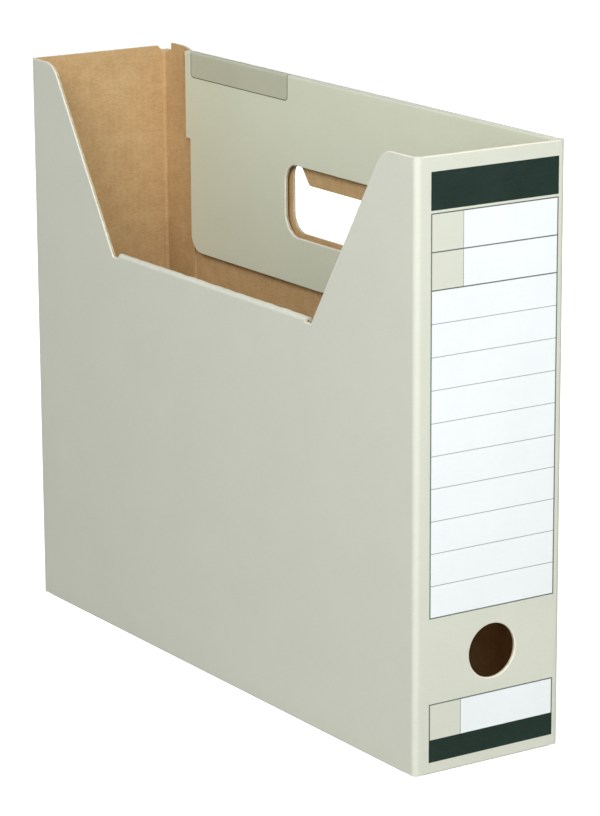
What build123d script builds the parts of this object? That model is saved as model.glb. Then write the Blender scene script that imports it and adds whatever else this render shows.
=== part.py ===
from build123d import *
import os
from math import asin, atan2, degrees, hypot, pi, radians, tan

# A landscape file box of thin corrugated board: one die-cut blank, creased, folded and glued.
# Each panel, flap and crease of the blank is a piece of its own.
# X runs from the back panel to the labelled spine, Y from the notched side to the
# hand-hole side, Z up. The origin is the middle of the footprint, on the table.
os.makedirs("parts", exist_ok=True)

# Outer size and board
depth = 318.0                # back panel to spine, outside
width = 76.0                 # side to side, outside
height = 265.0               # table to the top edges of the walls
board = 1.5                  # micro-flute board
glued_board = 1.2            # the same board, pressed thin where it is glued
corner_crease_r = 3.0        # outside radius of the four upright creases
base_crease_r = 2.5          # outside radius of the creases at the foot

# Loading notch in the near side
notch_depth = 81.5           # wall top to the crest of the folded lip
notch_back_margin = 20.8     # back panel's face to its mouth, before the shoulders are rounded
notch_spine_margin = 24.4    # its mouth to the spine's face
notch_slant = 32.6           # degrees that each cut leans from upright
shoulder_r = 12.0            # rounding of the two shoulders

# Lip flap: the lower part of the notch's cut-out, folded inside
lip_gap = 1.0                # air between the near side and its lip flap
lip_relief = 4.6             # slot at each end of the lip's fold
lip_length = 50.0            # fold to free edge
lip_corner_r = 8.0

# Doubled edge on the far side: a flap folded inside over the top
flap_gap = 1.5               # air between the far side and its flap
flap_length = 95.2           # fold to free edge
flap_start = 23.0            # back panel's face to the flap's back edge
flap_end = 5.0               # spine's face to the flap's front edge
flap_step = 4.0              # each end of the flap is shorter by this lower down
flap_step_drop = 42.3        # wall top to those steps
flap_corner_r = 9.0

# Hand hole through the far side and its flap
hand_width = 91.4            # in the far side
hand_lip_drop = 50.0         # wall top to the lip that the fingers pull on
hand_foot_drop = 73.2        # wall top to the hole's lower edge
hand_foot_r = 9.7
ear_r = 4.6                  # round ears at the ends of the pulling lip
ear_top_drop = 41.5
ear_lean = 38.0              # degrees that the ear's inner side leans from upright
ear_blend_r = 3.0
flap_hole_rim = 2.3          # the flap's hole is longer by this at each end
flap_hole_top_drop = 41.3
flap_hole_foot_drop = 75.0
flap_hole_top_r = 8.5
flap_hole_foot_r = 10.5

# Finger hole in the spine
finger_r = 12.0
finger_height = 49.3         # table to its centre
finger_shift = 2.1           # its centre lies this far towards the hand-hole side

# Glued back corner
lap_width = 27.0             # back panel's face to the glue lap's cut edge
lap_top_air = 0.8            # the top fold's foot to the lap's top edge
far_edge_setback = 0.5       # back panel's face to the far side's raw edge
corner_nick = 2.0            # depth of the nick at the top of the glued corner
nick_end = 5.5               # back panel's face to the end of the nick
tab_rise = 1.4               # the far side's unfolded corner, above the wall top
tab_curve = 8.0              # length over which that corner curves down

# Self-locking base
foot_air = 0.4               # table to the walls' raw corners, beside the base creases
crease_air = 0.3             # a base crease's end to the glue lap's crease
lap_reach = 7.0              # how far both long flaps reach past the middle
lock_setback = 10.25         # glued corner's tip to the stretch where they lap
lock_air = 0.5               # cut clearance between neighbouring base pieces
lock_ramp = 4.0              # run in which a lapping edge climbs over the other
long_taper = 6.0             # taper of the long flaps' free ends
end_flap_length = 36.0       # crease to free edge of the end flaps
end_run = 1.5                # an end flap lies on the table this far
end_ramp = 4.0               # run in which it then climbs over the long flaps
end_taper = 5.0
end_corner_r = 5.0

# Places worked out from the sizes above
back = -depth / 2
spine = depth / 2
near = -width / 2
far = width / 2
lap_face = far - board                   # the glue lap lies against this face
side_crease_end = depth / 2 - base_crease_r - end_run - end_ramp - lock_air
end_crease_end = lap_face - corner_crease_r - crease_air

lip_mid_r = (board + lip_gap) / 2
lip_edge = height - notch_depth - lip_gap / 2 - board
slope = tan(radians(notch_slant))
notch_half_mouth = (depth - notch_back_margin - notch_spine_margin) / 2
notch_shift = (notch_back_margin - notch_spine_margin) / 2
notch_half_foot = notch_half_mouth - slope * (height - lip_edge)
lip_half = notch_half_foot - lip_relief

flap_mid_r = (board + flap_gap) / 2
flap_edge = height - flap_gap / 2 - board
flap_back = back + flap_start
flap_front = spine - flap_end

near_face = Plane.XZ.offset(-near)
far_face = Plane.XZ.offset(-far)


def bend(centre, outer_r, start, sweep):
    """Draw the section of a crease: board bent round centre, by degrees."""
    with BuildLine() as section:
        outside = CenterArc(centre, outer_r, start, sweep)
        inside = CenterArc(centre, outer_r - board, start, sweep)
        Line(outside @ 0, inside @ 0)
        Line(outside @ 1, inside @ 1)
    make_face(section.edges())


def save(piece, name):
    """Label a finished piece, write its STEP file and say how big it is."""
    piece.part.label = name
    export_step(piece.part, f"parts/{name}.step")
    size = piece.part.bounding_box().size
    print(f"{name}: {size.X:.1f} x {size.Y:.1f} x {size.Z:.1f} mm")


# Near side, with the loading notch
with BuildPart() as near_side_panel:
    with BuildSketch(near_face):
        with BuildLine():
            Polyline(
                (-side_crease_end, base_crease_r),
                (-side_crease_end, foot_air),
                (back + corner_crease_r, foot_air),
                (back + corner_crease_r, height),
                (notch_shift - notch_half_mouth, height),
                (notch_shift - notch_half_foot, lip_edge),
                (notch_shift + notch_half_foot, lip_edge),
                (notch_shift + notch_half_mouth, height),
                (spine - corner_crease_r, height),
                (spine - corner_crease_r, foot_air),
                (side_crease_end, foot_air),
                (side_crease_end, base_crease_r),
                close=True,
            )
        outline = make_face()
        tops = outline.vertices().group_by(Axis.Y)[-1].sort_by(Axis.X)
        fillet(tops[1:3], shoulder_r)
    extrude(amount=-board)
save(near_side_panel, "near_side_panel")

# Far side, with its hand hole and the unfolded corner that stands above the wall top
with BuildPart() as far_side_panel:
    with BuildSketch(far_face):
        raw_edge = back + far_edge_setback
        tab_top = height + tab_rise
        with BuildLine():
            Polyline(
                (flap_back, height),
                (flap_back, flap_edge),
                (flap_front, flap_edge),
                (flap_front, height),
                (spine - corner_crease_r, height),
                (spine - corner_crease_r, foot_air),
                (side_crease_end, foot_air),
                (side_crease_end, base_crease_r),
                (-side_crease_end, base_crease_r),
                (-side_crease_end, foot_air),
                (raw_edge, foot_air),
                (raw_edge, height - corner_nick),
                (back + nick_end, height - corner_nick),
                (back + nick_end, tab_top),
                (flap_back - tab_curve, tab_top),
            )
            TangentArc((flap_back - tab_curve, tab_top), (flap_back, height), tangent=(1, 0))
        make_face()
    extrude(amount=board)
    with BuildSketch(far_face):
        hand_half = hand_width / 2
        ear_z = height - ear_top_drop - ear_r
        lip_z = height - hand_lip_drop
        foot_z = height - hand_foot_drop
        with BuildLine():
            ear = CenterArc((ear_r - hand_half, ear_z), ear_r, 180, ear_lean - 180)
            lip_start = (ear @ 1).X + ((ear @ 1).Y - lip_z) * tan(radians(ear_lean))
            FilletPolyline(ear @ 1, (lip_start, lip_z), (0, lip_z), radius=ear_blend_r)
            FilletPolyline(ear @ 0, (-hand_half, foot_z), (0, foot_z), radius=hand_foot_r)
            mirror(about=Plane.YZ)
        make_face()
    extrude(amount=board, mode=Mode.SUBTRACT)
save(far_side_panel, "far_side_panel")

# Spine, with the finger hole that pulls the box off a shelf
with BuildPart() as spine_panel:
    with BuildSketch(Plane.YZ.offset(spine)):
        with BuildLine():
            Polyline(
                (-end_crease_end, base_crease_r),
                (-end_crease_end, foot_air),
                (near + corner_crease_r, foot_air),
                (near + corner_crease_r, height),
                (far - corner_crease_r, height),
                (far - corner_crease_r, foot_air),
                (end_crease_end, foot_air),
                (end_crease_end, base_crease_r),
                close=True,
            )
        make_face()
        with Locations((finger_shift, finger_height)):
            Circle(finger_r, mode=Mode.SUBTRACT)
    extrude(amount=-board)
save(spine_panel, "spine_panel")

# Back panel, clipped at the top of the glued corner
with BuildPart() as back_panel:
    with BuildSketch(Plane.YZ.offset(back)):
        glued_side = lap_face - corner_crease_r
        with BuildLine():
            Polyline(
                (-end_crease_end, base_crease_r),
                (-end_crease_end, foot_air),
                (near + corner_crease_r, foot_air),
                (near + corner_crease_r, height),
                (glued_side - corner_nick, height),
                (glued_side, height - corner_nick),
                (glued_side, base_crease_r),
                close=True,
            )
        make_face()
    extrude(amount=board)
save(back_panel, "back_panel")

# Four upright creases, where the board turns a corner
with BuildPart() as near_spine_crease:
    with BuildSketch(Plane.XY.offset(foot_air)):
        bend((spine - corner_crease_r, near + corner_crease_r), corner_crease_r, 270, 90)
    extrude(amount=height - foot_air)
save(near_spine_crease, "near_spine_crease")

with BuildPart() as far_spine_crease:
    with BuildSketch(Plane.XY.offset(foot_air)):
        bend((spine - corner_crease_r, far - corner_crease_r), corner_crease_r, 0, 90)
    extrude(amount=height - foot_air)
save(far_spine_crease, "far_spine_crease")

with BuildPart() as near_back_crease:
    with BuildSketch(Plane.XY.offset(foot_air)):
        bend((back + corner_crease_r, near + corner_crease_r), corner_crease_r, 180, 90)
    extrude(amount=height - foot_air)
save(near_back_crease, "near_back_crease")

with BuildPart() as glue_lap_crease:
    with BuildSketch(Plane.XY.offset(foot_air)):
        bend((back + corner_crease_r, lap_face - corner_crease_r), corner_crease_r, 90, 90)
    extrude(amount=height - corner_nick - foot_air)
save(glue_lap_crease, "glue_lap_crease")

# Glue lap, stuck inside the far side so that the blank closes to a tube
with BuildPart() as glue_lap:
    with BuildSketch(Plane.XZ.offset(-lap_face)):
        lap_top = flap_edge - lap_top_air
        with BuildLine():
            Polyline(
                (back + corner_crease_r, base_crease_r),
                (back + corner_crease_r, lap_top),
                (back + lap_width, lap_top),
                (back + lap_width, base_crease_r),
                close=True,
            )
        make_face()
    extrude(amount=glued_board)
save(glue_lap, "glue_lap")

# Flap that doubles the far side's top edge and the hand hole
with BuildPart() as top_inner_flap:
    with BuildSketch(Plane.XZ.offset(flap_gap - lap_face)):
        step_z = height - flap_step_drop
        free_edge = flap_edge - flap_length
        with BuildLine():
            Polyline(
                (flap_back, flap_edge),
                (flap_back, step_z),
                (flap_back + flap_step, step_z),
                (flap_back + flap_step, free_edge),
                (flap_front - flap_step, free_edge),
                (flap_front - flap_step, step_z),
                (flap_front, step_z),
                (flap_front, flap_edge),
                close=True,
            )
        outline = make_face()
        fillet(outline.vertices().group_by(Axis.Y)[0], flap_corner_r)
    extrude(amount=board)
    with BuildSketch(Plane.XZ.offset(flap_gap - lap_face)):
        hole_end = hand_width / 2 + flap_hole_rim
        hole_top = height - flap_hole_top_drop
        hole_foot = height - flap_hole_foot_drop
        with BuildLine():
            FilletPolyline(
                (0, hole_top),
                (-hole_end, hole_top),
                (-hole_end, hole_foot),
                (0, hole_foot),
                radius=[flap_hole_top_r, flap_hole_foot_r],
            )
            mirror(about=Plane.YZ)
        make_face()
    extrude(amount=board, mode=Mode.SUBTRACT)
save(top_inner_flap, "top_inner_flap")

# The fold over the far side's top, which is that flap's hinge
with BuildPart() as top_fold:
    with BuildSketch(Plane.YZ.offset(flap_back)):
        bend((lap_face - flap_gap / 2, flap_edge), flap_mid_r + board / 2, 0, 180)
    extrude(amount=flap_front - flap_back)
save(top_fold, "top_fold")

# Lip flap under the notch, and the fold that is its hinge
with BuildPart() as notch_lip_flap:
    with BuildSketch(Plane.XZ.offset(-near - board - lip_gap)):
        free_edge = lip_edge - lip_length
        free_half = lip_half + slope * lip_length
        with BuildLine():
            Polyline(
                (notch_shift - lip_half, lip_edge),
                (notch_shift - free_half, free_edge),
                (notch_shift + free_half, free_edge),
                (notch_shift + lip_half, lip_edge),
                close=True,
            )
        outline = make_face()
        fillet(outline.vertices().group_by(Axis.Y)[0], lip_corner_r)
    extrude(amount=-board)
save(notch_lip_flap, "notch_lip_flap")

with BuildPart() as notch_fold:
    with BuildSketch(Plane.YZ.offset(notch_shift - lip_half)):
        bend((near + board + lip_gap / 2, lip_edge), lip_mid_r + board / 2, 0, 180)
    extrude(amount=2 * lip_half)
save(notch_fold, "notch_fold")


# Where the long flaps of the base begin and end, seen from above
crease_y = near + base_crease_r
middle = -lock_air / 2
glued_tip = middle - crease_y - side_crease_end
lock_half = -glued_tip - lock_setback


def long_base_flap(turn):
    """One long flap of the base, drawn for the near side and turned for the far side."""
    ramp_top = -lap_reach - lock_air
    ramp_foot = ramp_top - lock_ramp
    with BuildPart() as flap:
        with BuildSketch(Plane.XY.rotated((0, 0, turn))):
            with BuildLine():
                Polyline(
                    (-side_crease_end, crease_y),
                    (glued_tip, middle),
                    (-lock_half, middle),
                    (-lock_half, lap_reach),
                    (middle, lap_reach),
                    (middle, ramp_foot),
                    (lock_half + lock_air, ramp_foot),
                    (lock_half + lock_air, middle),
                    (side_crease_end - long_taper, middle),
                    (side_crease_end, crease_y),
                    close=True,
                )
            make_face()
        extrude(amount=board)
        with BuildSketch(Plane.YZ.rotated((0, 0, turn)).offset(lock_air / 2)):
            with BuildLine():
                Polyline(
                    (ramp_foot, 0),
                    (ramp_top, board),
                    (lap_reach, board),
                    (lap_reach, 2 * board),
                    (ramp_top, 2 * board),
                    (ramp_foot, board),
                    close=True,
                )
            make_face()
        extrude(amount=lock_half - lock_air / 2)
    return flap


def glue_tab(turn):
    """The corner of a long base flap beyond its slanting crease, glued to an end flap."""
    with BuildPart() as tab:
        with BuildSketch(Plane.XY.rotated((0, 0, turn))):
            with BuildLine():
                Polyline(
                    (-side_crease_end, crease_y),
                    (glued_tip, middle),
                    (-side_crease_end, middle),
                    close=True,
                )
            make_face()
        extrude(amount=board)
    return tab


def end_base_flap(turn):
    """One short flap of the base, drawn for the spine and turned for the back panel."""
    crease_x = spine - base_crease_r
    free_x = crease_x - end_flap_length
    ramp_foot = crease_x - end_run
    ramp_top = ramp_foot - end_ramp
    with BuildPart() as flap:
        with BuildSketch(Plane.XY.rotated((0, 0, turn))):
            with BuildLine():
                Polyline(
                    (crease_x, -end_crease_end),
                    (free_x, end_taper - end_crease_end),
                    (free_x, end_crease_end - end_flap_length),
                    (crease_x, end_crease_end),
                    close=True,
                )
            outline = make_face()
            free_corner = outline.vertices().sort_by(Axis.X)[:2].sort_by(Axis.Y)[0]
            fillet(free_corner, end_corner_r)
        extrude(amount=2 * board)
        with BuildSketch(Plane.XZ.rotated((0, 0, turn)).offset(-far)):
            with BuildLine():
                Polyline(
                    (crease_x, 0),
                    (ramp_foot, 0),
                    (ramp_top, board),
                    (free_x, board),
                    (free_x, 2 * board),
                    (ramp_top, 2 * board),
                    (ramp_foot, board),
                    (crease_x, board),
                    close=True,
                )
            make_face()
        extrude(amount=width, mode=Mode.INTERSECT)
    return flap


# Self-locking base: two long flaps lap and hook in the middle, over their glued corners
# lie the two end flaps
near_base_flap = long_base_flap(0)
save(near_base_flap, "near_base_flap")
far_base_flap = long_base_flap(180)
save(far_base_flap, "far_base_flap")
near_glue_tab = glue_tab(0)
save(near_glue_tab, "near_glue_tab")
far_glue_tab = glue_tab(180)
save(far_glue_tab, "far_glue_tab")
spine_base_flap = end_base_flap(0)
save(spine_base_flap, "spine_base_flap")
back_base_flap = end_base_flap(180)
save(back_base_flap, "back_base_flap")

# Four creases at the foot of the walls
with BuildPart() as near_base_crease:
    with BuildSketch(Plane.YZ.offset(-side_crease_end)):
        bend((near + base_crease_r, base_crease_r), base_crease_r, 180, 90)
    extrude(amount=2 * side_crease_end)
save(near_base_crease, "near_base_crease")

with BuildPart() as far_base_crease:
    with BuildSketch(Plane.YZ.offset(-side_crease_end)):
        bend((far - base_crease_r, base_crease_r), base_crease_r, 270, 90)
    extrude(amount=2 * side_crease_end)
save(far_base_crease, "far_base_crease")

with BuildPart() as spine_base_crease:
    with BuildSketch(Plane.XZ.offset(-end_crease_end)):
        bend((spine - base_crease_r, base_crease_r), base_crease_r, 270, 90)
    extrude(amount=2 * end_crease_end)
save(spine_base_crease, "spine_base_crease")

with BuildPart() as back_base_crease:
    with BuildSketch(Plane.XZ.offset(-end_crease_end)):
        bend((back + base_crease_r, base_crease_r), base_crease_r, 180, 90)
    extrude(amount=2 * end_crease_end)
save(back_base_crease, "back_base_crease")

# Hinge lines: a half turn about each one lays its fold out flat
flap_pivot_y = lap_face - flap_gap / 2
flap_pivot_z = flap_edge + pi / 2 * flap_mid_r
lip_pivot_y = near + board + lip_gap / 2
lip_pivot_z = lip_edge + pi / 2 * lip_mid_r
print(f"top flap turns about y {flap_pivot_y:.3f}, z {flap_pivot_z:.3f}")
print(f"lip flap turns about y {lip_pivot_y:.3f}, z {lip_pivot_z:.3f}")

# The top flap swings in until its free edge meets the near side
reach_down = flap_pivot_z - flap_edge + flap_length
reach_in = flap_mid_r + board / 2
swing = asin((flap_pivot_y - near - board) / hypot(reach_down, reach_in))
print(f"top flap meets the near side at {degrees(swing - atan2(reach_in, reach_down)):.1f} degrees")
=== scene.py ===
# %% [markdown]
# # A file box of micro-flute board
#
# The real box is one sheet of thin corrugated board: a printed grey-green liner outside, a bare
# kraft liner inside, and a fluted paper between them. It is die-cut, creased, folded and glued.
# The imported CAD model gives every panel's shape and the two flaps that move. This script gives
# each panel its three plies, rubbed cut edges, creases, print and light.

import math

import bmesh
import bpy
from mathutils import Matrix, Vector, noise


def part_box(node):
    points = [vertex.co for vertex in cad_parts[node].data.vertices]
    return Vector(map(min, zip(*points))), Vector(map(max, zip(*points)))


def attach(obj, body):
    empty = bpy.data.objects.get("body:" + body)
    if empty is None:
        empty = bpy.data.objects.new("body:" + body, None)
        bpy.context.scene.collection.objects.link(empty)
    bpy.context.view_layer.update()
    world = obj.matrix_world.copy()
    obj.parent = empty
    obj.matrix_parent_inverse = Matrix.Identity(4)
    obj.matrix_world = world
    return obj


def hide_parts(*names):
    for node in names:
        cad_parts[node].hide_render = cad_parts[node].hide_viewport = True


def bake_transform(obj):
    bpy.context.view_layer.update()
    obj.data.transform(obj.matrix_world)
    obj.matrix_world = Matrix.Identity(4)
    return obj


MM = 0.001
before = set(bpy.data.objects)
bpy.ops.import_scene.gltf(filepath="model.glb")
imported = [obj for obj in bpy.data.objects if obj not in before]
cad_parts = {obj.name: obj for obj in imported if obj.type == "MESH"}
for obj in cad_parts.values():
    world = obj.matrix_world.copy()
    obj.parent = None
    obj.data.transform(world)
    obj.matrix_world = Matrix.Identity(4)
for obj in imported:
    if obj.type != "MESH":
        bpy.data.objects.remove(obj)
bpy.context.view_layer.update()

# %% [markdown]
# The photographer stood about 1.6 m away with a long lens, before the corner between the near
# side and the spine, and looked down a little. Upright lines are parallel in the photo, as from a
# levelled, shifted lens. That shift would push the box out of every other view, so this camera
# has none, and its uprights lean by a few pixels.

# %% Camera
camera_place = Vector((1.3042, -0.8453, 0.5235))
camera_turn = math.radians(56.753)
camera_dip = math.radians(14.5)
camera_roll = math.radians(-0.282)
focal_length_mm = 155.87

camera_data = bpy.data.cameras.new("studio_camera")
camera_data.lens = focal_length_mm
camera_data.sensor_width = 36
camera = bpy.data.objects.new("studio_camera", camera_data)
camera.matrix_world = (
    Matrix.Translation(camera_place)
    @ Matrix.Rotation(camera_turn, 4, "Z")
    @ Matrix.Rotation(math.pi / 2 - camera_dip, 4, "X")
    @ Matrix.Rotation(camera_roll, 4, "Z")
)
bpy.context.scene.collection.objects.link(camera)
bpy.context.scene.camera = camera
bpy.context.scene.view_settings.view_transform = "Standard"
print("camera stands", round(camera_place.length, 2), "m away")

# %% [markdown]
# Everything is measured from the board. Micro-flute board is about 1.5 mm thick, with a flute
# every 3.2 mm. The flutes run up the walls, so the top edges show them as a fine wave. A face is
# told by its normal: three shares say how closely it has to point along a direction.

# %% Directions and plies
TO_BACK, TO_SPINE = Vector((-1, 0, 0)), Vector((1, 0, 0))
TO_NEAR, TO_FAR = Vector((0, -1, 0)), Vector((0, 1, 0))
DOWN, UP = Vector((0, 0, -1)), Vector((0, 0, 1))
ROUGHLY, SQUARELY, EXACTLY = 0.9, 0.99, 0.9999
ASKEW = 0.1                  # below this share a face stands across a direction

near_low, near_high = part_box("near_side_panel")
board = near_high.y - near_low.y
outer_ply = 0.50 * MM        # the printed liner, with its white top coat
inner_ply = 0.26 * MM
flute_ply = 0.20 * MM
flute_pitch = 3.2 * MM
printed_rim = 0.45 * MM      # how far a die rounds the printed liner over its edge
kraft_rim = 0.12 * MM
tolerance = 0.02 * MM
merge_distance = tolerance / 10
print("board", round(board / MM, 2), "mm, flutes every", flute_pitch / MM, "mm")

# %% [markdown]
# One helper turns an sRGB hex colour into linear light, one adds a node with its settings and
# links. Every finish below is built from these two.

# %% Colour and node helpers
def linear(hex_colour):
    """Turn an sRGB hex colour into the linear colour that a shader takes."""
    shares = [int(hex_colour[i:i + 2], 16) / 255 for i in (1, 3, 5)]
    return [s / 12.92 if s <= 0.04045 else ((s + 0.055) / 1.055) ** 2.4 for s in shares] + [1]


def add_node(tree, kind, sockets=None, **settings):
    """Add a shader node. A socket gets a value, or a link where its value is another socket."""
    node = tree.nodes.new("ShaderNode" + kind)
    for name, value in settings.items():
        setattr(node, name, value)
    for name, value in (sockets or {}).items():
        if isinstance(value, bpy.types.NodeSocket):
            tree.links.new(value, node.inputs[name])
        else:
            node.inputs[name].default_value = value
    return node

# %% [markdown]
# Paper is never one flat colour. Pulp settles in soft clouds, its fibres lie mostly across the
# flutes, and the glued crests of the flutes telegraph through as faint upright lines. Clouds
# read the object's own coordinates. Fibres and flutes read the sheet coordinates that each
# piece gets as its UV map: u across the flutes and v along them, both in metres.

# %% The paper that every finish starts from
fibre_length = 2.6 * MM
fibre_width = 0.8 * MM                       # coarser than a real fibre, to show at this size
wave_scale = math.tau / (20 * flute_pitch)   # a wave texture repeats every tau / 20 units


def paper(name, tones, roughness, cloud=30 * MM, fibres=0.5, glue_lines=0.0,
          washboard=0.012 * MM, tooth=0.010 * MM, gloss=0.35):
    """Make a paper finish: three tones mixed by clouds and fibres, flutes telegraphing through."""
    material = bpy.data.materials.new(name)
    material.use_nodes = True
    tree = material.node_tree
    tree.nodes.clear()
    place = add_node(tree, "TexCoord")
    clouds = add_node(tree, "TexNoise", {
        "Vector": place.outputs["Object"], "Scale": 1 / cloud, "Detail": 5.0, "Roughness": 0.6,
    })
    lay = add_node(tree, "Mapping", {
        "Vector": place.outputs["UV"], "Scale": (1 / fibre_length, 1 / fibre_width, 1),
    })
    fibre = add_node(tree, "TexNoise", {
        "Vector": lay.outputs["Vector"], "Scale": 1.0, "Detail": 3.0, "Roughness": 0.7,
        "Distortion": 1.2,
    })
    mixed = add_node(tree, "Mix", {
        0: fibres, 2: clouds.outputs["Fac"], 3: fibre.outputs["Fac"],
    }, data_type="FLOAT")
    flutes = add_node(tree, "TexWave", {
        "Vector": place.outputs["UV"], "Scale": wave_scale, "Distortion": 0.8, "Detail": 1.0,
        "Detail Scale": 0.4,
    }, bands_direction="X")
    lined = add_node(tree, "Mix", {
        0: glue_lines, 2: mixed.outputs[0], 3: flutes.outputs["Fac"],
    }, data_type="FLOAT")
    tone = add_node(tree, "ValToRGB", {"Fac": lined.outputs[0]})
    ramp = tone.color_ramp
    ramp.elements[0].position, ramp.elements[1].position = 0.38, 0.62
    ramp.elements[0].color, ramp.elements[1].color = linear(tones[0]), linear(tones[2])
    ramp.elements.new(0.5).color = linear(tones[1])
    ridges = add_node(tree, "Bump", {
        "Strength": 1.0, "Distance": washboard, "Height": flutes.outputs["Fac"],
    })
    grain = add_node(tree, "Bump", {
        "Strength": 1.0, "Distance": tooth, "Height": fibre.outputs["Fac"],
        "Normal": ridges.outputs["Normal"],
    })
    shader = add_node(tree, "BsdfPrincipled", {
        "Base Color": tone.outputs["Color"], "Roughness": roughness, "IOR": 1.5,
        "Specular IOR Level": gloss, "Normal": grain.outputs["Normal"],
    })
    add_node(tree, "OutputMaterial", {"Surface": shader.outputs["BSDF"]})
    return material

# %% [markdown]
# The printed liner is coated white-top paper with a flat grey-green ink, nearly matt. Inside the
# box its print is painted a little paler and greener, as painted light on the flap that stands in
# the walls' shade. Where it is stretched over a fold the ink opens up and the coating shows
# through, and on the notch fold's up-facing crown the lighter tone is partly a painted highlight.
# The bare inner liner is unbleached kraft: brown, with fibres and clouds that show. A die bares
# the pulp inside a paper, which is paler and rougher than its face: near white in the printed
# liner, straw in the other two. One paper recipe with other tones serves them all, because that
# is what they are.

# %% Board finishes
finishes = {
    # flat offset ink on coated paper: one even, matt grey-green, with the flutes just felt
    "print": paper("printed_liner", ("#d4d7c9", "#d6d9cb", "#d8dbcd"), 0.6, fibres=0.6, gloss=0.2),
    # the same ink painted paler and greener: painted light on the inner flap, which stands in the
    # walls' shade
    "inner_print": paper("print_painted_lighter_inside", ("#dadfca", "#dce1cc", "#dee3ce"), 0.6, fibres=0.6,
                         gloss=0.2),
    # the same ink pulled open: lighter, in uneven streaks along the fold; on the notch fold's
    # up-facing crown it is partly a painted highlight
    "stretched": paper("stretched_print_and_painted_highlight", ("#d6d8cb", "#dcded0", "#e3e5d8"), 0.6, fibres=0.7,
                       washboard=0.0, tooth=0.03 * MM),
    # unbleached pulp, uncoated: warm brown clouds and fibres, and no shine
    "kraft": paper("kraft_liner", ("#bd9a6b", "#c6a577", "#cfb083"), 0.72, cloud=8 * MM,
                   fibres=0.6, glue_lines=0.02, tooth=0.015 * MM, gloss=0.2),
    # paper sheared by a die: a dull, pale, slightly mottled line
    "cut": paper("cut_printed_liner", ("#e4e2d2", "#eceadd", "#f2f0e6"), 0.85, cloud=4 * MM,
                 fibres=0.6, washboard=0.0, gloss=0.15),
    "kraft_cut": paper("cut_kraft_liner", ("#d3c6a3", "#d9ccab", "#dfd3b4"), 0.85, cloud=4 * MM,
                       fibres=0.6, washboard=0.0, gloss=0.15),
    "flute": paper("fluted_paper", ("#d5cab0", "#dcd2ba", "#e3dac4"), 0.85, cloud=4 * MM,
                   fibres=0.6, washboard=0.0, gloss=0.15),
}
print("board finishes:", ", ".join(material.name for material in finishes.values()))

# %% [markdown]
# The printer's inks lie on the same liner, so each is the same paper with its own tones: white
# for the fields that are written on, a very dark green for the bands, two greys for the rules,
# and a darker tint of the ground with its outline for the index field.

# %% Inks
inks = {
    "white": paper("white_field", ("#eef3f5", "#f0f5f7", "#f2f7f9"), 0.5, gloss=0.2),
    "dark": paper("dark_green_ink", ("#1f2e28", "#22322c", "#263630"), 0.55, gloss=0.12),
    "rule": paper("grey_rule_ink", ("#5b635d", "#616963", "#676f69"), 0.55, gloss=0.2),
    "fine_rule": paper("pale_rule_ink", ("#858c88", "#8a918d", "#8f9692"), 0.55, gloss=0.2),
    "tint": paper("index_tint", ("#bec1ac", "#c1c4af", "#c4c7b2"), 0.55),
    "outline": paper("index_outline", ("#6b7262", "#717868", "#777e6e"), 0.55, gloss=0.2),
}
finishes |= inks
print("inks:", ", ".join(material.name for material in inks.values()))

# %% [markdown]
# A CAD node comes as loose triangles. Its copy is merged and its flat faces are made whole, so
# that a ply can start from the panel's real outline, holes and all. A ply is the face on one
# side of the panel, thickened inwards. Its cut rims are rounded as a die leaves them, but not
# the edges that run on into a crease.

# %% Plies
def cad_shape(node):
    """Return a bmesh copy of a CAD node, merged, with its flat faces whole."""
    shape = bmesh.new()
    shape.from_mesh(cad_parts[node].data)
    bmesh.ops.remove_doubles(shape, verts=shape.verts, dist=merge_distance)
    bmesh.ops.dissolve_limit(
        shape, angle_limit=math.radians(0.5), verts=shape.verts, edges=shape.edges,
    )
    return shape


def lies_in(edge, node):
    """Tell whether both ends of an edge lie in a CAD node's box, so that it is a seam."""
    low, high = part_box(node)
    return all(
        low[i] - tolerance <= vert.co[i] <= high[i] + tolerance
        for vert in edge.verts for i in range(3)
    )


def round_rims(shape, facing, seams, rim):
    """Round the rims between the face towards facing and the cut walls."""
    rims = []
    for edge in shape.edges:
        slants = sorted(face.normal.dot(facing) for face in edge.link_faces)
        is_rim = slants[-1] > ROUGHLY and abs(slants[0]) < ASKEW
        if is_rim and not any(lies_in(edge, seam) for seam in seams):
            rims.append(edge)
    bmesh.ops.bevel(
        shape, geom=rims, offset=rim, offset_type="OFFSET", segments=2, profile=0.5,
        affect="EDGES", material=-1, clamp_overlap=True,
    )


def ply(node, facing, thickness, seams, rim):
    """Return one liner of a panel, as thick as it is, on the side towards facing."""
    shape = cad_shape(node)
    for seam in seams:
        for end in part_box(seam):
            bmesh.ops.bisect_plane(
                shape, geom=shape.verts[:] + shape.edges[:] + shape.faces[:],
                dist=merge_distance, plane_co=end, plane_no=TO_SPINE,
            )
    others = [face for face in shape.faces if face.normal.dot(facing) < ROUGHLY]
    bmesh.ops.delete(shape, geom=others, context="FACES")
    bmesh.ops.solidify(shape, geom=shape.faces[:], thickness=thickness)
    bmesh.ops.recalc_face_normals(shape, faces=shape.faces)
    round_rims(shape, facing, seams, rim)
    return shape

# %% [markdown]
# The fluted paper starts as a flat grid across the whole panel. Each column of vertices is
# lifted by a sine, the grid is made solid, and a Boolean trims it to the panel's outline. That
# way the wave is real wherever the board was cut, also down the slants of the notch.

# %% Flutes
columns_per_flute = 8
flute_air = 0.01 * MM        # between the paper and the liners


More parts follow.
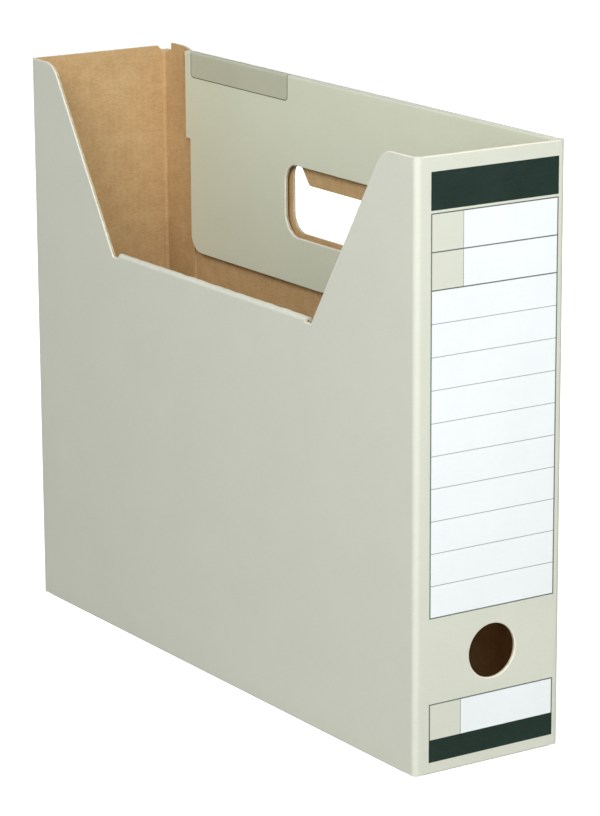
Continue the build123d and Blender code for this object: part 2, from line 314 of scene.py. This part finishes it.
def trimmed(shape, node):
    """Return the part of a bmesh that lies inside a CAD node."""
    pieces = []
    for part, name in ((shape, "untrimmed"), (cad_shape(node), "die")):
        mesh = bpy.data.meshes.new(name)
        part.to_mesh(mesh)
        part.free()
        pieces.append(bpy.data.objects.new(name, mesh))
        bpy.context.scene.collection.objects.link(pieces[-1])
    trim = pieces[0].modifiers.new("trim", "BOOLEAN")
    trim.operation, trim.solver, trim.object = "INTERSECT", "EXACT", pieces[1]
    depsgraph = bpy.context.evaluated_depsgraph_get()
    mesh = bpy.data.meshes.new_from_object(pieces[0].evaluated_get(depsgraph))
    result = bmesh.new()
    result.from_mesh(mesh)
    for piece in pieces:
        bpy.data.objects.remove(piece)
    bpy.data.meshes.remove(mesh)
    return result


def fluting(node, facing, across, along):
    """Return the fluted paper of a panel, trimmed to the panel's outline."""
    low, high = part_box(node)
    width, length = abs((high - low).dot(across)), abs((high - low).dot(along))
    flutes = math.ceil(width / flute_pitch) + 1
    core = board - outer_ply - inner_ply
    swing = (core - flute_ply) / 2 - flute_air
    sheet = bmesh.new()
    bmesh.ops.create_grid(sheet, x_segments=flutes * columns_per_flute, y_segments=1, size=0.5)
    bmesh.ops.scale(sheet, vec=(flutes * flute_pitch, length + 2 * board, 1), verts=sheet.verts)
    for vert in sheet.verts:
        vert.co.z = swing * math.sin(math.tau * vert.co.x / flute_pitch)
    bmesh.ops.solidify(sheet, geom=sheet.faces[:], thickness=flute_ply)
    lift = flute_ply / 2 + (inner_ply - outer_ply) / 2
    stand = Matrix((across, along, facing)).transposed().to_4x4()
    stand.translation = (low + high) / 2 + facing * lift
    bmesh.ops.transform(sheet, matrix=stand, verts=sheet.verts)
    bmesh.ops.recalc_face_normals(sheet, faces=sheet.faces)
    return trimmed(sheet, node)

# %% [markdown]
# A finished piece joins its plies, names each face's finish, takes its sheet coordinates and
# rides on its CAD body in the CAD node's place.

# %% Finishing a piece
def finish_piece(name, plies, across, along, body, nodes):
    """Join plies, each a bmesh with a rule that names a face's finish, into one piece."""
    joined = bmesh.new()
    used = []
    for shape, finish_of in plies:
        for face, finish in [(face, finish_of(face)) for face in shape.faces]:
            if finish not in used:
                used.append(finish)
            face.material_index = used.index(finish)
        part = bpy.data.meshes.new("ply")
        shape.to_mesh(part)
        shape.free()
        joined.from_mesh(part)
        bpy.data.meshes.remove(part)
    sheet = joined.loops.layers.uv.new("sheet")
    for face in joined.faces:
        for loop in face.loops:
            loop[sheet].uv = (loop.vert.co.dot(across), loop.vert.co.dot(along))
    mesh = bpy.data.meshes.new(name)
    joined.to_mesh(mesh)
    joined.free()
    for finish in used:
        mesh.materials.append(finishes[finish])
    piece = bpy.data.objects.new(name, mesh)
    bpy.context.scene.collection.objects.link(piece)
    if isinstance(body, str):
        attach(piece, body)
    if nodes:
        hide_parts(*nodes)
    print(f"{name}: {len(mesh.polygons)} faces, {', '.join(used)}")
    return piece

# %% [markdown]
# The spine is printed with filing fields: a dark band, a table of ruled rows with a small tag
# column beside the first two, and under the finger hole a label with its own tag and band. The
# face itself is cut along the edges of every rule, so the print stays sharp and perfectly flat.
# The printer's sheet is written in millimetres down from the top edge.

# %% Print on the spine
spine_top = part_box("spine_panel")[1].z
print_middle, print_half = 1.8, 32.4         # the block's place across, and half its width
header_band, footer_band = (6.6, 22.7), (249.7, 259.7)
rule_width, fine_rule_width, frame_width = 0.55, 0.30, 0.60
heavy_rules = [24.0, 40.0, 56.0, 196.0, 234.0]
fine_rules = [56.0 + 14.0 * row for row in range(1, 10)]
tag_edge = -print_half + 16.2
tables = [(24.0, 196.0), (234.0, 249.7)]
tagged = [(24.0, 56.0), (234.0, 249.7)]


def inside(value, span):
    """Tell whether a value lies in a span."""
    return span[0] < value < span[1]


def print_fields(shape):
    """Cut the spine's printed face along the edges of its bands and rules."""
    rows = [*header_band, *footer_band]
    rows += [at + side * rule_width / 2 for at in heavy_rules for side in (-1, 1)]
    rows += [at + side * fine_rule_width / 2 for at in fine_rules for side in (-1, 1)]
    columns = [tag_edge, tag_edge + fine_rule_width]
    columns += [side * edge for side in (-1, 1) for edge in (print_half, print_half - frame_width)]
    cuts = [(Vector((0, 0, spine_top - row * MM)), UP) for row in rows]
    cuts += [(Vector((0, (print_middle + column) * MM, 0)), TO_FAR) for column in columns]
    for place, normal in cuts:
        printed = [face for face in shape.faces if face.normal.dot(TO_SPINE) > SQUARELY]
        around = {part for face in printed for part in (*face.edges, *face.verts)}
        bmesh.ops.bisect_plane(
            shape, geom=[*printed, *around], dist=merge_distance, plane_co=place, plane_no=normal,
        )
    print("cuts for the spine's print:", len(cuts))


def spine_finish(face):
    """Name the ink of a face of the spine's printed liner."""
    if face.normal.dot(TO_SPINE) < SQUARELY:
        return "cut"
    middle = face.calc_center_median()
    down, aside = (spine_top - middle.z) / MM, middle.y / MM - print_middle
    if abs(aside) > print_half:
        return "print"
    if inside(down, header_band) or inside(down, footer_band):
        return "dark"
    if any(abs(down - at) < rule_width / 2 for at in heavy_rules):
        return "rule"
    if not any(inside(down, table) for table in tables):
        return "print"
    if abs(aside) > print_half - frame_width:
        return "rule"
    if any(abs(down - at) < fine_rule_width / 2 for at in fine_rules):
        return "fine_rule"
    if any(inside(down, rows) for rows in tagged):
        if aside < tag_edge:
            return "print"
        if aside < tag_edge + fine_rule_width:
            return "fine_rule"
    return "white"

# %% [markdown]
# Six panels have open flutes at their cut edges: the four walls, the flap doubled inside the far
# side and the lip flap under the notch. The folded flaps show their printed side to the inside.

# %% Walls and flaps
panels = [
    ("near_side", "near_side_panel", TO_NEAR, TO_SPINE, "box",
     ["near_back_crease", "near_spine_crease", "near_base_crease", "notch_fold"]),
    ("far_side", "far_side_panel", TO_FAR, TO_SPINE, "box",
     ["far_spine_crease", "far_base_crease", "top_fold"]),
    ("spine", "spine_panel", TO_SPINE, TO_FAR, "box",
     ["near_spine_crease", "far_spine_crease", "spine_base_crease"]),
    ("back", "back_panel", TO_BACK, TO_FAR, "box",
     ["near_back_crease", "glue_lap_crease", "back_base_crease"]),
    ("top_flap", "top_inner_flap", TO_NEAR, TO_SPINE, "top_flap", ["top_fold"]),
    ("lip_flap", "notch_lip_flap", TO_FAR, TO_SPINE, "lip_flap", ["notch_fold"]),
]


def liner_finish(facing, finish, cut):
    """Return the rule for a liner: its finish on the face, its cut finish everywhere else."""
    return lambda face: finish if face.normal.dot(facing) > SQUARELY else cut


for name, node, facing, across, body, seams in panels:
    outer = ply(node, facing, outer_ply, seams, printed_rim)
    # The top flap's face takes the paler print, which is painted light.
    outer_rule = liner_finish(facing, "inner_print" if name == "top_flap" else "print", "cut")
    if name == "spine":
        print_fields(outer)
        outer_rule = spine_finish
    wave = fluting(node, facing, across, UP)
    inner = ply(node, -facing, inner_ply, seams, kraft_rim)
    plies = [
        (outer, outer_rule),
        (wave, lambda face: "flute"),
        (inner, liner_finish(-facing, "kraft", "kraft_cut")),
    ]
    finish_piece(name + "_board", plies, across, UP, body, [node])

# %% [markdown]
# The flaps of the base and the glue lap are pressed flat where they are glued, so they show no
# flutes: each is its CAD shape with rounded rims, print below, kraft above and cut edges round.

# %% Base and glue lap
def pressed_finish(facing, edge):
    """Return the rule for a solid piece of board: print on one side, kraft on the other."""
    def rule(face):
        slant = face.normal.dot(facing)
        if abs(slant) > ROUGHLY:
            return "print" if slant > 0 else "kraft"
        return "cut" if slant > ASKEW else edge
    return rule


pressed = [
    ("near_base", "near_base_flap", DOWN, TO_SPINE, TO_FAR, "printed_board",
     ["near_base_crease", "near_glue_tab"]),
    ("far_base", "far_base_flap", DOWN, TO_SPINE, TO_FAR, "printed_board",
     ["far_base_crease", "far_glue_tab"]),
    ("near_tab", "near_glue_tab", DOWN, TO_SPINE, TO_FAR, "printed_board", []),
    ("far_tab", "far_glue_tab", DOWN, TO_SPINE, TO_FAR, "printed_board", []),
    ("spine_base", "spine_base_flap", DOWN, TO_FAR, TO_SPINE, "kraft_board",
     ["spine_base_crease"]),
    ("back_base", "back_base_flap", DOWN, TO_FAR, TO_SPINE, "kraft_board",
     ["back_base_crease"]),
    ("glue_lap", "glue_lap", TO_FAR, TO_SPINE, UP, "kraft_board", ["glue_lap_crease"]),
]
for name, node, facing, across, along, slot, seams in pressed:
    shape = cad_shape(node)
    round_rims(shape, facing, seams, printed_rim)
    round_rims(shape, -facing, seams, kraft_rim)
    rule = pressed_finish(facing, "kraft" if slot == "kraft_board" else "kraft_cut")
    finish_piece(name + "_board", [(shape, rule)], across, along, "box", [node])

# %% [markdown]
# A crease is board crushed along a line and bent a quarter turn. The printed liner runs round
# the outside, and the crushed board swells into a rounded bead inside the corner. Two arcs spun
# from single vertices draw its section, which is then drawn out along the crease. Noise, which
# is the same on every run, gives the bead the small kinks of crushed paper.

# %% Creases
outer_steps = 14
bead_steps = 8
lead_in = 0.3 * MM           # how far the panels' planes run on into an upright crease
foot_bend = 1.0 * MM         # the outer radius of a crease at the foot, which is bent sharper
bead_swell = 0.45 * MM       # how far the bead stands in front of the straight chord
kink_length = 4.0 * MM
kink = 0.10 * MM


def spin_from(shape, vert, centre, axis, angle, steps):
    """Draw an arc from a vertex and return its last vertex."""
    turned = bmesh.ops.spin(
        shape, geom=[vert], cent=centre, axis=axis, dvec=(0, 0, 0), angle=angle, steps=steps,
        use_merge=False, use_normal_flip=False, use_duplicate=False,
    )
    return next(part for part in turned["geom_last"] if isinstance(part, bmesh.types.BMVert))


def draw_out(shape, run, step):
    """Fill a section and draw it out along run, with a ring of vertices every step."""
    face = bmesh.ops.contextual_create(shape, geom=shape.edges[:])["faces"][0]
    drawn = bmesh.ops.extrude_face_region(
        shape, geom=[face, *face.edges, *face.verts], use_keep_orig=True,
    )
    moved = [part for part in drawn["geom"] if isinstance(part, bmesh.types.BMVert)]
    bmesh.ops.translate(shape, vec=run, verts=moved)
    along = [edge for edge in shape.edges if edge.calc_length() > run.length / 2]
    cuts = max(1, int(run.length / step))
    bmesh.ops.subdivide_edges(shape, edges=along, cuts=cuts, use_grid_fill=True)
    bmesh.ops.recalc_face_normals(shape, faces=shape.faces)


def shade(shape, is_round):
    """Shade the faces that is_round names smooth, with sharp edges where they end."""
    for face in shape.faces:
        face.smooth = is_round(face)
    for edge in shape.edges:
        edge.smooth = all(face.smooth for face in edge.link_faces)


def crumple(verts, direction, size, length):
    """Push vertices along a direction by smooth noise with lumps of a given length."""
    for vert in verts:
        vert.co += direction * (size * noise.noise(vert.co / length))


def crease(node, out_a, out_b, bend=None):
    """Return the bmesh of a quarter-turn crease between the panels that face out_a and out_b."""
    low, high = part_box(node)
    run = Vector([abs(x) for x in out_a.cross(out_b)])
    outward = out_a + out_b
    centre = Vector([low[i] if outward[i] > 0 or run[i] else high[i] for i in range(3)])
    radius = abs((high - low).dot(out_a))
    inner_radius = radius - board
    axis = out_a.cross(out_b)
    half_chord = inner_radius / math.sqrt(2)
    setback = (half_chord ** 2 - bead_swell ** 2) / (2 * bead_swell)
    bead_centre = centre + outward * (inner_radius / 2 + setback / math.sqrt(2))
    bend = bend or radius - lead_in
    shape = bmesh.new()
    first = bmesh.ops.create_vert(shape, co=centre + out_a * radius)["vert"][0]
    turn_in = bmesh.ops.create_vert(shape, co=first.co + out_b * (radius - bend))["vert"][0]
    shape.edges.new((first, turn_in))
    turn_out = spin_from(
        shape, turn_in, centre + outward * (radius - bend), axis, math.pi / 2, outer_steps,
    )
    last = bmesh.ops.create_vert(shape, co=centre + out_b * radius)["vert"][0]
    shape.edges.new((turn_out, last))
    bead_start = bmesh.ops.create_vert(shape, co=centre + out_b * inner_radius)["vert"][0]
    shape.edges.new((last, bead_start))
    sweep = 2 * math.atan2(half_chord, setback)
    bead_end = spin_from(shape, bead_start, bead_centre, axis, sweep, bead_steps)
    shape.edges.new((bead_end, first))
    draw_out(shape, run * (high - low).dot(run), kink_length / 2)
    ends = (centre.dot(run), (centre + (high - low)).dot(run))
    bead = []
    for vert in shape.verts:
        across = vert.co - centre - run * (vert.co - centre).dot(run)
        at_end = min(abs(vert.co.dot(run) - end) for end in ends) < tolerance
        if across.dot(outward) < inner_radius - tolerance and not at_end:
            bead.append(vert)
    crumple(bead, outward.normalized(), kink, kink_length)
    return shape


def crease_finish(out_a, out_b):
    """Return the rule for a crease: print outside, kraft inside, cut paper at its ends."""
    outward = out_a + out_b
    run = out_a.cross(out_b)

    def rule(face):
        if abs(face.normal.dot(run)) > ROUGHLY:
            return "cut"
        return "print" if face.normal.dot(outward) > 0 else "kraft"
    return rule


creases = [
    ("near_spine_corner", "near_spine_crease", TO_NEAR, TO_SPINE, "printed_board"),
    ("far_spine_corner", "far_spine_crease", TO_SPINE, TO_FAR, "printed_board"),
    ("near_back_corner", "near_back_crease", TO_BACK, TO_NEAR, "printed_board"),
    ("glued_corner", "glue_lap_crease", TO_FAR, TO_BACK, "kraft_board"),
    ("near_foot", "near_base_crease", TO_NEAR, DOWN, "printed_board"),
    ("far_foot", "far_base_crease", TO_FAR, DOWN, "printed_board"),
    ("spine_foot", "spine_base_crease", TO_SPINE, DOWN, "printed_board"),
    ("back_foot", "back_base_crease", TO_BACK, DOWN, "printed_board"),
]
for name, node, out_a, out_b, slot in creases:
    shape = crease(node, out_a, out_b, foot_bend if out_b == DOWN else None)
    shade(shape, lambda face: abs(face.normal.dot(out_a.cross(out_b))) < ROUGHLY
          and min(face.normal.dot(out_a), face.normal.dot(out_b)) > -EXACTLY)
    across, along = (out_b, UP) if out_b != DOWN else (out_a.cross(DOWN), DOWN)
    finish_piece(name, [(shape, crease_finish(out_a, out_b))], across, along, "box", [node])

# %% [markdown]
# Two folds turn the board through half a turn and are the hinges of their flaps: one over the
# far side's top, one along the foot of the notch. The top fold has two creases side by side, so
# its top is flat between two tight bends. The notch's fold is rolled and a little uneven along its
# crown, as board is when it is folded across its flutes. The index field runs up over the top fold
# as far as its middle, so that fold is cut along the edges of the field and of its outline.

# %% Folds
bend_steps = 10
top_bend = 0.9 * MM          # the outer radius of each of the top fold's two bends
lump_length = 7.0 * MM
top_kink, notch_kink = 0.05 * MM, 0.30 * MM  # how uneven the crown of each fold is
index_span = (-130.5 * MM, -45.5 * MM)
index_foot = 252.8 * MM
index_line = 0.5 * MM
index_corner = 2.5 * MM
top_fold_reach = 1.4 * MM    # how far the fold runs on past its flap, almost to the spine


def fold(name, node, first, prints, crown_kink, bend=None, index=None, reach=0):
    """Make a half-turn fold from the wall, which faces first, with prints: wall, crown, flap."""
    low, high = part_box(node)
    centre = Vector((low.x, (low.y + high.y) / 2, low.z))
    radius = (high.y - low.y) / 2
    axis = first.cross(UP)
    straight = radius - (bend or radius)
    shape = bmesh.new()
    start = bmesh.ops.create_vert(shape, co=centre + first * radius)["vert"][0]
    end = start
    for side, run_on in ((first, UP * straight), (-first, -first * 2 * straight)):
        turn = bmesh.ops.create_vert(shape, co=end.co + run_on)["vert"][0]
        shape.edges.new((end, turn))
        end = spin_from(
            shape, turn, centre + (side + UP) * straight, axis, math.pi / 2, bend_steps,
        )
    last = bmesh.ops.create_vert(shape, co=centre - first * radius)["vert"][0]
    shape.edges.new((end, last))
    back_start = bmesh.ops.create_vert(shape, co=centre - first * (radius - board))["vert"][0]
    shape.edges.new((last, back_start))
    back_end = spin_from(shape, back_start, centre, axis, -math.pi, 2 * bend_steps)
    shape.edges.new((back_end, start))
    bmesh.ops.remove_doubles(shape, verts=shape.verts, dist=merge_distance)
    draw_out(shape, TO_SPINE * (high.x + reach - low.x), kink_length / 2)
    cuts = []
    if index:
        cuts += [(at, TO_SPINE) for at in (*index, index[0] + index_line, index[1] - index_line)]
        cuts += [(at, TO_FAR) for at in (centre.y, centre.y - first.y * index_line)]
    for at, normal in cuts:
        bmesh.ops.bisect_plane(
            shape, geom=shape.verts[:] + shape.edges[:] + shape.faces[:],
            dist=merge_distance, plane_co=normal * at, plane_no=normal,
        )
    top = [vert for vert in shape.verts if vert.co.z > low.z + radius / 3]
    crumple(top, UP, crown_kink, lump_length)
    shade(shape, lambda face: abs(face.normal.x) < ROUGHLY and face.normal.z > -EXACTLY)

    def rule(face):
        if abs(face.normal.x) > ROUGHLY:
            return "cut"
        middle = face.calc_center_median()
        if math.hypot(middle.y - centre.y, middle.z - centre.z) < radius - board / 2:
            return "kraft"
        past = (centre.y - middle.y) * first.y
        if index and inside(middle.x, index) and past > 0:
            edged = min(middle.x - index[0], index[1] - middle.x) < index_line
            return "outline" if edged or past < index_line else "tint"
        # A face that points up takes the crown's finish; on the notch fold that lighter stretched
        # print is partly a painted highlight.
        return prints[1 if face.normal.z > 0.5 else 2 if past > 0 else 0]

    piece = finish_piece(name, [(shape, rule)], TO_SPINE, UP, None, [node])
    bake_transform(piece)


# The top fold's flap side takes the same paler print, painted light like the flap's own face.
fold("top_fold_board", "top_fold", TO_FAR, ("print", "print", "inner_print"),
     top_kink, top_bend, index_span, top_fold_reach)
# The notch fold's up-facing crown takes the stretched print, which is partly a painted highlight.
fold("notch_fold_board", "notch_fold", TO_NEAR, ("print", "stretched", "print"),
     notch_kink)

# %% [markdown]
# The rest of the index field is a film of ink on the flap's face. A rectangle gets its two
# lower corners rounded and its outline by an inset, then loses its top strip where it meets the
# fold, and is thickened by a hair so that it stands off the liner.

# %% Index field
ink_film = 0.02 * MM
flap_low, flap_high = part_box("top_inner_flap")
film = bmesh.new()
bmesh.ops.create_grid(film, x_segments=1, y_segments=1, size=0.5)
film_top = flap_high.z + 4 * index_line
bmesh.ops.scale(
    film, vec=(index_span[1] - index_span[0], film_top - index_foot, 1), verts=film.verts,
)
bmesh.ops.rotate(film, matrix=Matrix.Rotation(math.pi / 2, 3, "X"), verts=film.verts)
bmesh.ops.translate(film, verts=film.verts, vec=(
    sum(index_span) / 2, flap_low.y - ink_film, (film_top + index_foot) / 2,
))
bmesh.ops.bevel(
    film, geom=[vert for vert in film.verts if vert.co.z < index_foot + tolerance],
    offset=index_corner, offset_type="OFFSET", segments=8, profile=0.5, affect="VERTICES",
    material=-1,
)
bmesh.ops.inset_region(
    film, faces=film.faces[:], thickness=index_line, use_even_offset=True, use_boundary=True,
)
ring = {face for face in film.faces if len(face.verts) == 4}
for face in film.faces:
    face.material_index = 1 if face in ring else 0
bmesh.ops.bisect_plane(
    film, geom=film.verts[:] + film.edges[:] + film.faces[:], dist=merge_distance,
    plane_co=Vector((0, 0, flap_high.z)), plane_no=UP, clear_outer=True,
)
bmesh.ops.solidify(film, geom=film.faces[:], thickness=ink_film)
bmesh.ops.recalc_face_normals(film, faces=film.faces)
finish_piece(
    "index_field", [(film, lambda face: "outline" if face.material_index else "tint")],
    TO_SPINE, UP, "top_flap", [],
)

# %% [markdown]
# A plain pale floor and white surroundings. The surroundings light the box mostly from the
# horizon, as the walls of a studio do, so that little light falls down into it. The camera sees
# floor and surroundings as white, and the floor keeps the box's soft shadow. It lies a hair below
# the base, which rests on it.

# %% Floor and surroundings
horizon_colour, zenith_colour = linear("#b1b2af"), linear("#5b5c5a")
zenith_from = 0.6                            # height of a direction where the zenith's tone starts
world = bpy.data.worlds.new("white_studio")
bpy.context.scene.world = world
world.use_nodes = True
tree = world.node_tree
tree.nodes.clear()
direction = add_node(tree, "TexCoord")
height = add_node(tree, "SeparateXYZ", {"Vector": direction.outputs["Generated"]})
rise = add_node(tree, "MapRange", {"Value": height.outputs["Z"], "From Max": zenith_from})
walls = add_node(tree, "Mix", {
    0: rise.outputs["Result"], 6: horizon_colour, 7: zenith_colour,
}, data_type="RGBA")
rays = add_node(tree, "LightPath")
seen = add_node(tree, "Math", {
    0: rays.outputs["Is Camera Ray"], 1: rays.outputs["Is Glossy Ray"],
}, operation="MAXIMUM")
shown = add_node(tree, "Mix", {
    0: seen.outputs[0], 6: walls.outputs[2], 7: linear("#ffffff"),
}, data_type="RGBA")
sky = add_node(tree, "Background", {"Color": shown.outputs[2], "Strength": 1.0})
add_node(tree, "OutputWorld", {"Surface": sky.outputs["Background"]})

floor_glow = 0.89
floor_material = bpy.data.materials.new("white_floor")
floor_material.use_nodes = True
tree = floor_material.node_tree
tree.nodes.clear()
rays = add_node(tree, "LightPath")
sheet = add_node(tree, "BsdfDiffuse", {"Color": linear("#bcbcba")})
lit = add_node(tree, "BsdfDiffuse", {"Color": linear("#e7e7e7")})
glow = add_node(tree, "Emission", {"Color": linear("#ffffff"), "Strength": floor_glow})
lifted = add_node(tree, "AddShader", {0: lit.outputs["BSDF"], 1: glow.outputs["Emission"]})
choice = add_node(tree, "MixShader", {
    0: rays.outputs["Is Camera Ray"], 1: sheet.outputs["BSDF"], 2: lifted.outputs["Shader"],
})
add_node(tree, "OutputMaterial", {"Surface": choice.outputs["Shader"]})

floor_half = 12                              # metres from its middle to its edge
floor_shape = bmesh.new()
bmesh.ops.create_grid(floor_shape, x_segments=1, y_segments=1, size=floor_half)
floor_mesh = bpy.data.meshes.new("floor")
floor_shape.to_mesh(floor_mesh)
floor_shape.free()
floor_mesh.materials.append(floor_material)
floor = bpy.data.objects.new("floor", floor_mesh)
floor.location.z = -tolerance
bpy.context.scene.collection.objects.link(floor)
print("floor:", 2 * floor_half, "m wide")

# %% [markdown]
# Three square soft boxes give the plain light of a studio. One beyond the spine lights the spine
# most, one stands high before the near side, and a low one behind lights the sides that the
# photographer didn't see. Each is aimed at the middle of the box.

# %% Lamps
aim = Vector((0, 0, 0.13))
lamps = [
    ("key_softbox", (1.25, -0.25, 0.75), 0.8, 10.8),
    ("front_softbox", (0.65, -1.10, 1.10), 0.8, 15.2),
    ("back_softbox", (-0.75, 1.15, 0.45), 0.8, 9.0),
]
for name, place, size, power in lamps:
    lamp_data = bpy.data.lights.new(name, "AREA")
    lamp_data.shape = "SQUARE"
    lamp_data.size = size
    lamp_data.energy = power
    lamp = bpy.data.objects.new(name, lamp_data)
    lamp.location = place
    lamp.rotation_euler = (aim - lamp.location).to_track_quat("-Z", "Y").to_euler()
    lamp.visible_camera = False
    bpy.context.scene.collection.objects.link(lamp)
print("lamps:", ", ".join(lamp[0] for lamp in lamps))
